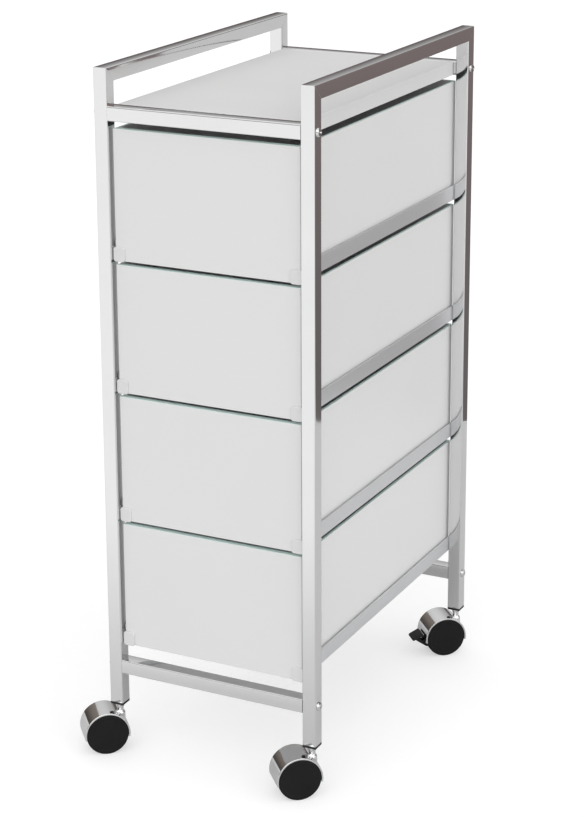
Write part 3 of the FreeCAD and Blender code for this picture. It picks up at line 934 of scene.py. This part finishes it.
def web_outline(reach, slot):
    """The web's outline: the hood's arc, its lower edge and the boss, with or without a slot."""
    drop = math.asin((AXLE_HEIGHT - HOOD_END) / reach)
    points = []
    steps = 48
    for step in range(steps + 1):
        angle = -drop + (math.pi + 2 * drop) * step / steps
        if slot and angle < math.radians(PEDAL_SLOT_ANGLE) - drop:
            continue
        points.append((TRAIL + reach * math.cos(angle), AXLE_HEIGHT + reach * math.sin(angle)))
    boss_drop = math.asin((AXLE_HEIGHT - HOOD_END) / BOSS)
    for step in range(17):
        angle = math.pi + boss_drop + (math.pi - 2 * boss_drop) * step / 16
        points.append((TRAIL + BOSS * math.cos(angle), AXLE_HEIGHT + BOSS * math.sin(angle)))
    if slot:
        points.append((TRAIL + PEDAL_SLOT_SIDE, HOOD_END))
        points.append((TRAIL + PEDAL_SLOT_SIDE, PEDAL_SLOT_TOP))
        points.append((points[0][0], PEDAL_SLOT_TOP))
    return points


def add_plate(shape, outline, low_y, high_y):
    """A plate with an outline in the XZ plane, between two depths."""
    add_loft(shape, [[(x, y, z) for x, z in outline] for y in (low_y, high_y)])


def hood_piece(caster, braked):
    """Sheet, web and neck; a braked hood's web is three plates, the middle one slotted."""
    shape = bmesh.new()
    hood_sheet(shape)
    reach = HOOD_INNER + 0.3 * MM
    if braked:
        add_plate(shape, web_outline(reach, False), SLOT_HALF, WEB_HALF)
        add_plate(shape, web_outline(reach, False), -WEB_HALF, -SLOT_HALF)
        add_plate(shape, web_outline(reach, True), -SLOT_HALF, SLOT_HALF)
    else:
        add_plate(shape, web_outline(reach, False), -WEB_HALF, WEB_HALF)
    turned(shape, NECK, (0, 0, 0), (0, 0, 1), 48)
    hood = from_bmesh(caster + "_hood_shell", shape, HOOD_CHROME)
    hood.data.transform(caster_matrix(caster)[0])
    flat_faces(hood)
    stands_for(hood, caster, "chrome_hood", caster + "_hood")


for caster in CASTERS:
    hood_piece(caster, caster.startswith("rear"))
print("hoods done")

# %% [markdown]
# ### Wheels, stems and caps
#
# A wheel and a stem are one turned profile each, with small corner radii. A cap is a stack
# of rounded squares: a tapered foot, a rim as wide as the post, and the plug inside it.

# %% Wheels
WHEEL_RADIUS = 24.0 * MM
WHEEL_INNER = 6.4 * MM
WHEEL_OUTER = 17.6 * MM


def wheel_piece(caster, number, sign):
    """A moulded wheel whose disc lies slightly back inside its rim, with a hollow back."""
    face = WHEEL_OUTER - WHEEL_INNER
    profile = rounded_profile([
        (0.0, face - 0.35 * MM, 0), (18.5 * MM, face - 0.35 * MM, 0.6 * MM),
        (19.6 * MM, face, 0.5 * MM), (WHEEL_RADIUS - 0.1 * MM, face, 2.0 * MM),
        (WHEEL_RADIUS, face / 2, 2.0 * MM), (WHEEL_RADIUS - 0.1 * MM, 0.0, 1.8 * MM),
        (20.5 * MM, 0.0, 0.5 * MM), (20.5 * MM, 7.0 * MM, 1.0 * MM), (7.0 * MM, 7.0 * MM, 1.0 * MM),
        (7.0 * MM, 0.0, 0.5 * MM), (3.05 * MM, 0.0, 0.2 * MM), (3.05 * MM, face - 1.3 * MM, 0),
        (0.0, face - 1.3 * MM, 0),
    ])
    shape = bmesh.new()
    turned(shape, profile, (TRAIL, sign * WHEEL_INNER, AXLE_HEIGHT), (0, sign, 0), 96)
    node = caster + "_wheel_" + str(number)
    wheel = from_bmesh(node + "_nylon", shape, NYLON)
    wheel.data.transform(caster_matrix(caster)[0])
    smooth_by_angle(wheel, 40.0)
    stands_for(wheel, node, "black_wheel", node)


for caster in CASTERS:
    wheel_piece(caster, 1, 1)
    wheel_piece(caster, 2, -1)
print("wheels done")

# %% Stems and leg caps
SPINDLE = 2.7 * MM
COLLAR = 4.6 * MM
STEM = 4.0 * MM
COLLAR_FOOT = 50.7 * MM
CAP_FOOT = 53.7 * MM

# The caps' outlines from the foot up, in mm: half width, corner radius and height.
CAP_OUTLINES = (
    (6.3, 1.0, 53.7), (6.6, 1.1, 53.75), (7.6, 1.3, 54.2), (7.9, 1.3, 54.4), (8.0, 1.3, 54.7),
    (8.0, 1.3, 56.8), (7.9, 1.2, 57.0), (6.7, 0.5, 57.0), (6.7, 0.5, 80.6), (6.3, 0.5, 81.0),
)

for caster in CASTERS:
    low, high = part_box(caster + "_stem")
    profile = rounded_profile([
        (0.0, low.z, 0), (SPINDLE, low.z, 0.6 * MM), (SPINDLE, COLLAR_FOOT, 0),
        (COLLAR, COLLAR_FOOT, 0.4 * MM), (COLLAR, CAP_FOOT, 0), (STEM, CAP_FOOT, 0),
        (STEM, high.z, 0.8 * MM), (0.0, high.z, 0),
    ])
    shape = bmesh.new()
    middle = (low + high) / 2
    turned(shape, profile, (middle.x, middle.y, 0), (0, 0, 1), 48)
    stem = from_bmesh(caster + "_stem_pin", shape, ZINC)
    smooth_by_angle(stem, 35.0)
    stands_for(stem, "frame", "zinc_steel", caster + "_stem")

low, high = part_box("leg_caps")
shape = bmesh.new()
for x in (low.x + HALF_TUBE, high.x - HALF_TUBE):
    for y in (low.y + HALF_TUBE, high.y - HALF_TUBE):
        loops = []
        for half, corner, z in CAP_OUTLINES:
            size = half * MM
            outline = rounded_outline((x - size, y - size), (x + size, y + size), [corner * MM] * 4, 5)
            loops.append([(*point, z * MM) for point in outline])
        add_loft(shape, loops)
caps = from_bmesh("leg_caps_moulded", shape, GRAINED_BLACK)
smooth_by_angle(caps, 30.0)
stands_for(caps, "frame", "black_plastic", "leg_caps")
print("stems and caps done")

# %% [markdown]
# ### Brake pedals
#
# A pedal is two bars whose width and thickness change along a line: the arm, which hangs
# from the pin, bends and rises again, and the pad on its end.

# %% Brake pedals
PEDAL_EDGE = 0.9


def bent_bar(shape, stations):
    """A bar in mm along a line in the XZ plane, from (x, z, half width, thickness) stations."""
    loops = []
    for i, (x, z, half_width, thickness) in enumerate(stations):
        before = stations[max(i - 1, 0)]
        after = stations[min(i + 1, len(stations) - 1)]
        run = Vector((after[0] - before[0], after[1] - before[1])).normalized()
        corner = Vector((half_width, thickness / 2))
        outline = rounded_outline(-corner, corner, [PEDAL_EDGE] * 4, 4)
        loops.append([
            ((x - run.y * point.y) * MM, point.x * MM, (z + run.x * point.y) * MM) for point in outline
        ])
    add_loft(shape, loops)


def pedal_piece(caster):
    """The pedal: a bent arm on the pin, and a sloping pad with round ends on the arm."""
    matrix = caster_matrix(caster)[0]
    pivot = matrix.inverted() @ Vector(JOINTS[caster + "_brake_press"]["pos_m"])
    x, z = pivot.x / MM, pivot.z / MM
    shape = bmesh.new()
    bent_bar(shape, [
        (x, z + 3.4, 2.4, 4.0), (x, z + 2.0, 2.5, 6.6), (x, z - 1.5, 2.5, 6.6),
        (x - 0.2, z - 5.0, 2.5, 4.7), (x - 0.3, z - 11.0, 2.5, 4.6), (x + 0.1, z - 13.4, 4.2, 4.6),
        (x + 2.6, z - 12.3, 5.0, 4.6), (x + 15.2, z - 3.6, 5.0, 4.6), (x + 16.8, z - 2.2, 4.6, 3.6),
    ])
    start, end = Vector((x + 10.7, z + 3.0)), Vector((x + 21.0, z - 2.0))
    run = (end - start).normalized()
    length = (end - start).length
    pad = [(-1.7, 7.6, 1.9), (-1.3, 8.4, 2.7), (-0.5, 8.9, 3.3), (0.3, 9.0, 3.4)]
    pad += [(length - along, wide, thick) for along, wide, thick in reversed(pad)]
    bent_bar(shape, [
        (start.x + run.x * along, start.y + run.y * along, wide, thick)
        for along, wide, thick in pad
    ])
    pedal = from_bmesh(caster + "_pedal", shape, GRAINED_BLACK)
    pedal.data.transform(matrix)
    smooth_by_angle(pedal, 50.0)
    stands_for(pedal, caster + "_brake", "black_plastic", caster + "_brake_pedal")


for caster in CASTERS:
    if caster.startswith("rear"):
        pedal_piece(caster)
print("pedals done")

# %% [markdown]
# ## Screws
#
# Eight equal screws, so one is made and Geometry Nodes put it on points. Every point
# carries the direction of its screw, and a fixed seed gives each one its own turn, because
# no two screws stop at the same angle.

# %% A pan-head screw


def screw_mesh(name, head, height, shank, length):
    """A pan-head screw along +Z, its head below the origin, with a cross cut that tapers."""
    profile = rounded_profile([
        (0.0, -height, 0), (head * 0.72, -height, head * 0.3), (head, -height * 0.35, head * 0.14),
        (head, 0.0, head * 0.04), (shank, 0.0, 0), (shank, length, shank * 0.3), (0.0, length, 0),
    ])
    shape = bmesh.new()
    turned(shape, profile, (0, 0, 0), (0, 0, 1), 40)
    screw = from_bmesh(name, shape)
    shape = bmesh.new()
    wide, narrow, deep = head * 0.52, head * 0.13, height * 0.62
    for across_x, across_y in ((wide, narrow), (narrow, wide)):
        loops = []
        for grow, z in ((1.0, -height * 1.2), (1.0, -height), (0.45, -height + deep)):
            x = wide * grow if across_x == wide else narrow
            y = wide * grow if across_y == wide else narrow
            loops.append([(-x, -y, z), (x, -y, z), (x, y, z), (-x, y, z)])
        add_loft(shape, loops)
    recess = from_bmesh(name + "_recess", shape)
    cutter = screw.modifiers.new("cross", "BOOLEAN")
    cutter.operation = "DIFFERENCE"
    cutter.solver = "EXACT"
    cutter.use_self = True
    cutter.object = recess
    bake(screw)
    smooth_by_angle(screw, 35.0)
    bpy.data.objects.remove(recess)
    bpy.context.scene.collection.objects.unlink(screw)
    return screw


def screws_tree():
    """Put one screw on every point, along the point's direction and turned at random."""
    inputs = {"Screw": "NodeSocketObject", "Seed": "NodeSocketInt", "Finish": "NodeSocketMaterial"}
    steps, given = new_tree("screws_on_points", inputs)
    sockets = {"Object": given["Screw"]}
    screw = steps.node("GeometryNodeObjectInfo", sockets=sockets, output="Geometry")
    settings = {"data_type": "FLOAT_VECTOR"}
    direction = steps.node("GeometryNodeInputNamedAttribute", settings, {"Name": "direction"})
    aim = steps.node("FunctionNodeAlignEulerToVector", {"axis": "Z"}, {"Vector": direction})
    sockets = {2: 0.0, 3: math.pi, "Seed": given["Seed"]}
    turn = steps.node("FunctionNodeRandomValue", {"data_type": "FLOAT"}, sockets, output=1)
    spin = steps.node("ShaderNodeCombineXYZ", sockets={"Z": turn})
    settings = {"rotation_type": "EULER", "space": "LOCAL"}
    aimed = steps.node("FunctionNodeRotateEuler", settings, {"Rotation": aim, "Rotate By": spin})
    sockets = {"Points": given["Geometry"], "Instance": screw, "Rotation": aimed}
    placed = steps.node("GeometryNodeInstanceOnPoints", sockets=sockets)
    return close_tree(steps, placed, given["Finish"])


SCREWS_TREE = screws_tree()


def screws_piece(name, points, screw, seed, node):
    """A group of equal screws; points are pairs of a seat and a direction."""
    mesh = bpy.data.meshes.new(name)
    mesh.from_pydata([seat for seat, direction in points], [], [])
    facing = mesh.attributes.new("direction", "FLOAT_VECTOR", "POINT")
    for item, (seat, direction) in zip(facing.data, points):
        item.vector = direction
    piece = link(name, mesh)
    run_tree(piece, SCREWS_TREE, {"Screw": screw, "Seed": seed, "Finish": SCREW_STEEL})
    stands_for(piece, "frame", "bright_screw", node)


# %% Screws in place
HEAD = 5.0 * MM
HEAD_HEIGHT = 2.8 * MM
SHANK = 3.0 * MM
SCREW_LENGTH = 32.0 * MM
SCREW_SEED = 7

low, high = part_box("frame_screws")
frame_points = []
for sign, x in ((1, low.x + HEAD_HEIGHT), (-1, high.x - HEAD_HEIGHT)):
    for y in (low.y + HEAD, high.y - HEAD):
        for z in (low.z + HEAD, high.z - HEAD):
            frame_points.append(((x, y, z), (sign, 0, 0)))
frame_screw = screw_mesh("frame_screw", HEAD, HEAD_HEIGHT, SHANK, SCREW_LENGTH)
screws_piece("frame_screws_bright", frame_points, frame_screw, SCREW_SEED, "frame_screws")
print("screws:", len(frame_points))

# %% CAD pieces that stay as they are
plain = ["board_pins", "rail_end_plugs"]
plain += [caster + part for caster in CASTERS for part in ("_axle", "_brake_pin")]
plain = [node for node in plain if node in frame["nodes"]]
for node in plain:
    frame["nodes"][node].data.materials.clear()
    frame["nodes"][node].data.materials.append(ZINC)
print("plain CAD pieces with zinc:", len(plain))

# %% [markdown]
# ## Studio
#
# White things on white need light that is nearly even, and chrome needs something darker
# to look at. So the light itself is soft and nearly even, with one softbox in front and
# one low on the right, and only reflections see a studio with a dark horizon, a brown card
# behind the right side and a darker one far off on the left. The floor is white paper to
# the camera and mid-toned to every other ray, and its reflection brightens in front. The
# Light Path node tells one kind of ray from another.

# %% Floor


def light_path(finish, output):
    """One of the Light Path node's outputs: 0 for the camera's rays, 3 for glossy ones."""
    return finish.node("ShaderNodeLightPath", output=output)


def ramp_between(finish, value, low, high):
    """0 below low, 1 above high, and a smooth rise between."""
    sockets = {"Value": value, "From Min": low, "From Max": high}
    return finish.node(
        "ShaderNodeMapRange", {"interpolation_type": "SMOOTHSTEP", "clamp": True}, sockets
    )


def studio_floor():
    finish = Finish("studio_floor", Roughness=0.95, Specular_IOR_Level=0.0, Emission_Strength=1.0)
    mirrored = light_path(finish, 3)
    x = finish.node("ShaderNodeSeparateXYZ", sockets={0: finish.place})
    y = x.beside(1)
    forward = x * -0.45 + y * -0.89
    bright = ramp_between(finish, forward, 0.1, 1.0)
    seen = light_path(finish, 0)
    finish.feed("Base Color", finish.mix(seen, grey(0.62), grey(0.56)))
    indirect = finish.mix(mirrored * bright, grey(0.0), grey(0.38))
    finish.feed("Emission Color", finish.mix(seen, indirect, grey(0.50)))
    return finish.material


shape = bmesh.new()
bmesh.ops.create_grid(shape, x_segments=1, y_segments=1, size=14.0)
floor = from_bmesh("floor", shape, studio_floor())

# %% Reflection cards


def card(name, start, end, low, high, low_colour, high_colour):
    """An upright card that only reflections see; its colour rises from its lower edge."""
    finish = Finish(name, Roughness=1.0, Specular_IOR_Level=0.0, Emission_Strength=1.0)
    height = finish.node("ShaderNodeSeparateXYZ", sockets={0: finish.place}, output=2)
    rise = ramp_between(finish, height, low, high)
    finish.shader.inputs["Base Color"].default_value = grey(0.0)
    finish.feed("Emission Color", finish.mix(rise, low_colour, high_colour))
    shape = bmesh.new()
    corners = [(*start, low), (*end, low), (*end, high), (*start, high)]
    shape.faces.new([shape.verts.new(corner) for corner in corners])
    panel = from_bmesh(name, shape, finish.material)
    panel.visible_camera = False
    panel.visible_diffuse = False
    panel.visible_shadow = False
    panel.visible_transmission = False


BROWN = ((0.15, 0.135, 0.135, 1), (0.28, 0.215, 0.21, 1))
DARK_BROWN = ((0.07, 0.06, 0.055, 1), (0.22, 0.19, 0.17, 1))
card("brown_card", (0.14, 0.31), (1.04, -0.14), 0.27, 1.3, *BROWN)
card("far_left_card", (-2.6, 3.6), (-4.0, 1.0), 0.0, 2.0, *DARK_BROWN)

# %% World and lights


def studio_world():
    """Even white for light, and for reflections a dark horizon under a bright ceiling."""
    world = bpy.data.worlds.new("studio")
    bpy.context.scene.world = world
    world.use_nodes = True
    sky = Nodes(world.node_tree)
    background = sky.tree.nodes["Background"]
    place = sky.node("ShaderNodeTexCoord")
    height = sky.node("ShaderNodeSeparateXYZ", sockets={0: place}, output=2)
    stops = [
        (0.0, (0.085, 0.07, 0.068, 1)), (0.13, (0.14, 0.12, 0.118, 1)), (0.22, grey(0.42)),
        (0.34, grey(0.50)), (0.6, grey(0.85)), (1.0, grey(1.05)),
    ]
    dome = sky.node("ShaderNodeValToRGB", {"stops": stops}, {"Fac": height})
    colour = sky.mix(light_path(sky, 3), grey(0.82), dome)
    sky.tree.links.new(colour.socket, background.inputs["Color"])
    background.inputs["Strength"].default_value = 1.0


studio_world()


def soft_sun(name, azimuth, elevation, spread, strength):
    """A distant soft light; azimuth 0 shines along +Y and 90 along -X."""
    light = bpy.data.lights.new(name, "SUN")
    light.angle = math.radians(spread)
    light.energy = strength
    lamp = bpy.data.objects.new(name, light)
    a, e = math.radians(azimuth), math.radians(elevation)
    back = Vector((math.sin(a) * math.cos(e), -math.cos(a) * math.cos(e), math.sin(e)))
    lamp.rotation_mode = "QUATERNION"
    lamp.rotation_quaternion = (-back).to_track_quat("-Z", "Y")
    bpy.context.scene.collection.objects.link(lamp)


soft_sun("front_softbox", 10.0, 35.0, 60.0, 0.8)
soft_sun("side_softbox", 80.0, 8.0, 70.0, 0.95)

# %% [markdown]
# ## Camera
#
# A long lens stands to the right of the trolley's front, a little above it and looking
# slightly down. The lens is shifted a little, as a view camera's is, which keeps the posts
# closer to upright.

# %% Camera
LENS = 97.68911
CAMERA_PLACE = Vector((1.0892, -2.1383, 1.1729))
CAMERA_AZIMUTH = 26.59
CAMERA_PITCH = 15.573
CAMERA_ROLL = -0.25
CAMERA_SHIFT = -0.15

camera_data = bpy.data.cameras.new("studio_camera")
camera_data.sensor_width = 36.0
camera_data.lens = LENS
camera_data.shift_y = CAMERA_SHIFT
camera = bpy.data.objects.new("studio_camera", camera_data)
a, p = math.radians(CAMERA_AZIMUTH), math.radians(CAMERA_PITCH)
looking = Vector((-math.sin(a) * math.cos(p), math.cos(a) * math.cos(p), -math.sin(p)))
camera.rotation_mode = "QUATERNION"
level = looking.to_track_quat("-Z", "Y")
roll = Matrix.Rotation(math.radians(-CAMERA_ROLL), 4, looking).to_quaternion()
camera.rotation_quaternion = roll @ level
camera.location = CAMERA_PLACE
bpy.context.scene.collection.objects.link(camera)
bpy.context.scene.camera = camera
bpy.context.scene.view_settings.view_transform = "Standard"
print("lens", round(camera_data.lens, 1))
